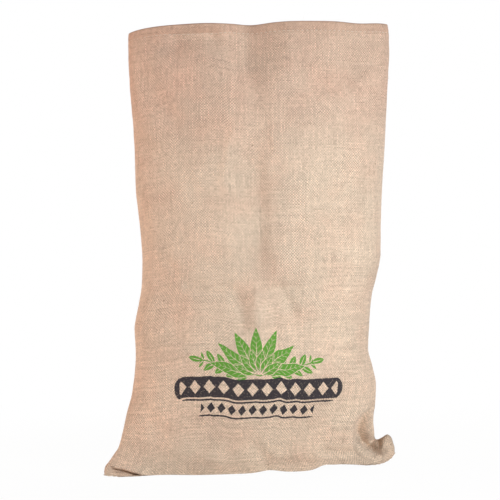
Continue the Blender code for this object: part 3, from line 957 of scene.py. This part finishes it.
THREAD_TONE = Mottle(700.0, 2.0, 0.7, 0.3, 0.7, 0.8, 1.1)
WEAVE_CLEARNESS = Mottle(12.0, 3.0, 0.6, 0.35, 0.62, 0.10, 0.25)
CLOTH_PATCHES = Mottle(9.0, 4.0, 0.65, 0.3, 0.7, 0.91, 1.07)
CLOTH_BLUSH = Mottle(13.0, 3.0, 0.6, 0.43, 0.71)
WEFT_STREAKS = Mottle(1.0, 3.0, 0.6, 0.3, 0.7, -0.12, 0.11)
INK_WEAR = Mottle(300.0, 2.0, 0.7, 0.30, 0.62)
FLOOR_TONE = Mottle(30.0, 3.0, 0.5, 0.3, 0.7, 0.995, 1.005)

# Streaks per metre across and down the cloth, and the distances down it between which they grow stronger.
STREAK_GRAIN = (16.0, 330.0, 1.0)
STREAKS_GROW = (0.30, 0.52)
# Painted shade, darker and pinker, on the threads near the mouth, and where down the cloth it fades out.
MOUTH_PAINTED_SHADE, MOUTH_FADE = (0.955, 0.885, 0.885, 1.0), (0.10, 0.26)
# Painted shade over the hem's band, and the tint of its worn rim and where down the cloth that fades out.
HEM_PAINTED_SHADE = (0.94, 0.90, 0.885, 1.0)
RIM_TINT, RIM_FADE = (0.66, 0.60, 0.58, 1.0), (0.8 * MM, 2.6 * MM)
# Bark specks: cells per metre, the share of cells that hold none, and a speck's radius in cells.
SPECK_COLOUR = (0.16, 0.09, 0.05, 1.0)
SPECK_CELLS, SPECKLESS_SHARE, SPECK_RADIUS = 60.0, 0.93, 0.075


def thread_material(name, base):
    """A dull jute thread or fibre of uneven tone."""
    material, wire, shader = new_material(name, roughness=0.8)
    tone = wire.mottle(wire.read("ShaderNodeTexCoord", output="Object"), THREAD_TONE)
    wire.feed(shader.inputs["Base Color"], wire.blend(1.0, colour4(base), tone, "MULTIPLY"))
    return material


def thread_colour(wire, cloth, weave, colours):
    """Thread colour with patches and streaks, painted shade at the mouth and hem, the rim's tint, and shaded
    gaps.
    """
    _, down, _ = wire.separate(cloth)
    tone = wire.spread(weave["Tone"], 0.25, 0.75, 0.70, 1.27)
    side = wire.spread(weave["Warp"], 0.0, 1.0, -1.2, 0.8) * wire.mottle(cloth, WEAVE_CLEARNESS) + 1.0
    streaks = wire.mottle(wire.vector("MULTIPLY", cloth, STREAK_GRAIN), WEFT_STREAKS)
    streaks = streaks * wire.spread(down, *STREAKS_GROW, 0.25, 1.0) + 1.0
    level = tone * side * wire.mottle(cloth, CLOTH_PATCHES) * streaks
    blush = wire.mottle(wire.vector("ADD", cloth, (3.0, 0.0, 0.0)), CLOTH_BLUSH)
    threads = wire.blend(blush, colour4(colours.jute), colour4(colours.jute_blush))
    # After the threads' own level, the next two are painted shade: near the mouth, and over the hem's band.
    for share, shade_or_tint in (
            (1.0, level),
            (wire.spread(down, *MOUTH_FADE, 1.0, 0.0, ease="SMOOTHSTEP"), MOUTH_PAINTED_SHADE),
            (abs(down) < HEM_WIDTH, HEM_PAINTED_SHADE),
            (wire.spread(abs(down), *RIM_FADE, 1.0, 0.0), RIM_TINT)):
        threads = wire.blend(share, threads, shade_or_tint, "MULTIPLY")
    return wire.blend(weave["Gap"] * 0.8, threads, colour4(colours.gap))


def hessian_material(context, printed):
    """Plain-woven jute: uneven threads, shaded gaps, patches of tone, bark specks, and ink if printed."""
    sizes, colours = context.scene.sack_sizes, context.scene.sack_colours
    material, wire, shader = new_material(
        "hessian_printed" if printed else "hessian_inside", roughness=0.9)
    cloth = wire.read("ShaderNodeUVMap", uv_map="cloth")
    weave_group = node_group(SHADER_TREE, "plain weave", {"Cloth": VECTOR, "Pitch": NUMBER}, plain_weave)
    weave = wire.place(weave_group, {"Cloth": cloth, "Pitch": sizes.thread_pitch})
    colour = thread_colour(wire, cloth, weave, colours)
    cells = wire.read_all("ShaderNodeTexVoronoi", {"Vector": cloth, "Scale": SPECK_CELLS})
    speck = (wire.separate(cells["Color"])[0] > SPECKLESS_SHARE) * (cells["Distance"] < SPECK_RADIUS)
    colour = wire.blend(speck * 0.75, colour, SPECK_COLOUR)
    if printed:
        leaves, bands = print_masks(wire, cloth)
        worn = wire.spread(wire.mottle(cloth, INK_WEAR), 0.0, 0.3, 0.72, 1.0)
        hold = wire.spread(weave["Height"], 0.05, 0.5, 0.72, 0.99) * worn
        colour = wire.blend(leaves * hold, colour, colour4(colours.leaf_ink))
        colour = wire.blend(bands * hold, colour, colour4(colours.band_ink))
    wire.feed(shader.inputs["Base Color"], colour)
    shader.inputs["Specular IOR Level"].default_value = 0.2
    shader.inputs["Sheen Weight"].default_value = 0.12
    shader.inputs["Sheen Roughness"].default_value = 0.5
    height = wire.noise(cloth, 900.0, 2.0, 0.6) * 0.25 + weave["Height"]
    bump = wire.read("ShaderNodeBump", {"Height": height, "Strength": 0.8, "Distance": 0.7 * MM})
    wire.feed(shader.inputs["Normal"], bump)
    return material


# ===== Studio =====

CAMERA_DISTANCE = 2.9
CAMERA_HEIGHT = 0.40
CAMERA_AIM = (0.003, 0.0, 0.3558)
CAMERA_ROLL_DEGREES = 1.3
CAMERA_LENS = 127.4

# Soft lamps: name, where each stands, how wide and tall it is, its power in watts, its colour, and the
# angle over which it spreads.
Lamp = namedtuple("Lamp", "name place width height power colour spread_degrees")
LAMPS = (
    Lamp("key", (1.85, -2.75, 0.90), 0.7, 0.7, 6.0, (0.885, 0.985, 1.055), 40),
    Lamp("rim", (-2.5, 0.1, 0.58), 1.4, 1.2, 45.0, (1.0, 0.84, 0.79), 180),
    Lamp("back", (1.5, 2.5, 1.3), 1.2, 1.2, 6.5, (1.0, 0.96, 0.92), 60),
)
LAMP_AIM = (0.04, 0.0, 0.41)
WORLD_LIGHT = 0.30
WORLD_COLOUR = (1.0, 0.80, 0.70, 1.0)
WHITE = (1.0, 1.0, 1.0, 1.0)
FLOOR_RADIUS = 14.0
# Between these distances from the sack the floor brightens into the white backdrop, from this share of it.
FLOOR_FADE = (0.25, 1.2)
FLOOR_GLOW = 0.97


class SACK_OT_stage(bpy.types.Operator):
    """Set out the plain floor, the soft lamps and the camera"""

    bl_idname = "sack.stage"
    bl_label = "Stage"

    def execute(self, context):
        self.make_floor(context)
        self.make_backdrop(context)
        self.make_lamps()
        self.make_camera(context)
        return {"FINISHED"}

    @staticmethod
    def make_floor(context):
        bpy.ops.mesh.primitive_circle_add(vertices=96, radius=FLOOR_RADIUS, fill_type="NGON")
        floor = context.object
        floor.name = "floor"
        material, wire, shader = new_material("pale_floor", roughness=0.75)
        place = wire.read("ShaderNodeTexCoord", output="Object")
        tone = wire.mottle(place, FLOOR_TONE)
        colour = wire.blend(1.0, colour4(context.scene.sack_colours.floor), tone, "MULTIPLY")
        wire.feed(shader.inputs["Base Color"], colour)
        glow = wire.read("ShaderNodeEmission", {"Color": WHITE, "Strength": 1.0})
        far = wire.spread(wire.vector("LENGTH", place, output="Value"), *FLOOR_FADE, ease="SMOOTHERSTEP")
        seen = wire.read("ShaderNodeLightPath", output="Is Camera Ray")
        share = wire.spread(far, 0.0, 1.0, FLOOR_GLOW, 1.0) * seen
        mixed = wire.read("ShaderNodeMixShader", {"Fac": share, 1: Reading(wire, shader.outputs[0]), 2: glow})
        wire.feed(material.node_tree.nodes["Material Output"].inputs["Surface"], mixed)
        floor.data.materials.append(material)

    @staticmethod
    def make_backdrop(context):
        world = context.scene.world or bpy.data.worlds.new("studio")
        context.scene.world = world
        world.use_nodes = True
        wire = Wiring(world.node_tree)
        background = world.node_tree.nodes["Background"]
        seen = wire.read("ShaderNodeLightPath", output="Is Camera Ray")
        wire.feed(background.inputs["Color"], wire.blend(seen, WORLD_COLOUR, WHITE))
        wire.feed(background.inputs["Strength"], wire.spread(seen, 0.0, 1.0, WORLD_LIGHT, 1.0))
        context.scene.view_settings.view_transform = "Standard"

    @staticmethod
    def make_lamps():
        for lamp in LAMPS:
            light = bpy.data.lights.new(lamp.name, "AREA")
            light.shape = "RECTANGLE"
            light.size, light.size_y = lamp.width, lamp.height
            light.energy = lamp.power
            light.color = lamp.colour
            light.spread = math.radians(lamp.spread_degrees)
            stand = new_object(lamp.name, light)
            stand.location = lamp.place
            aim = Vector(LAMP_AIM) - Vector(lamp.place)
            stand.rotation_euler = aim.to_track_quat("-Z", "Y").to_euler()

    @staticmethod
    def make_camera(context):
        lens = bpy.data.cameras.new("camera")
        lens.lens = CAMERA_LENS
        camera = new_object("camera", lens)
        place = Vector((CAMERA_AIM[0], -CAMERA_DISTANCE, CAMERA_HEIGHT))
        aim = Vector(CAMERA_AIM) - place
        turn = aim.to_track_quat("-Z", "Y").to_matrix().to_4x4()
        roll = Matrix.Rotation(math.radians(-CAMERA_ROLL_DEGREES), 4, "Z")
        camera.matrix_world = Matrix.Translation(place) @ turn @ roll
        context.scene.camera = camera


# ===== Panel and registration =====

MAKERS = (SACK_OT_cloth, SACK_OT_stitches, SACK_OT_fibres, SACK_OT_stage)


class SACK_PT_panel(bpy.types.Panel):
    """Lists the sack's sizes, colours and pieces"""

    bl_idname = "SACK_PT_panel"
    bl_label = "Hessian sack"
    bl_space_type = "VIEW_3D"
    bl_region_type = "UI"
    bl_category = "Sack"

    def draw(self, context):
        for group in (context.scene.sack_sizes, context.scene.sack_colours):
            for name in group.bl_rna.properties.keys():
                if name not in {"rna_type", "name"}:
                    self.layout.prop(group, name)
        for maker in MAKERS:
            self.layout.operator(maker.bl_idname)


CLASSES = (SackSizes, SackColours, *MAKERS, SACK_PT_panel)


def register():
    for cls in CLASSES:
        bpy.utils.register_class(cls)
    bpy.types.Scene.sack_sizes = PointerProperty(type=SackSizes)
    bpy.types.Scene.sack_colours = PointerProperty(type=SackColours)


def unregister():
    del bpy.types.Scene.sack_colours
    del bpy.types.Scene.sack_sizes
    for cls in reversed(CLASSES):
        bpy.utils.unregister_class(cls)


def main():
    register()
    bpy.ops.sack.stage()
    bpy.ops.sack.cloth()
    bpy.ops.sack.stitches()
    bpy.ops.sack.fibres()


if __name__ == "__main__":
    main()
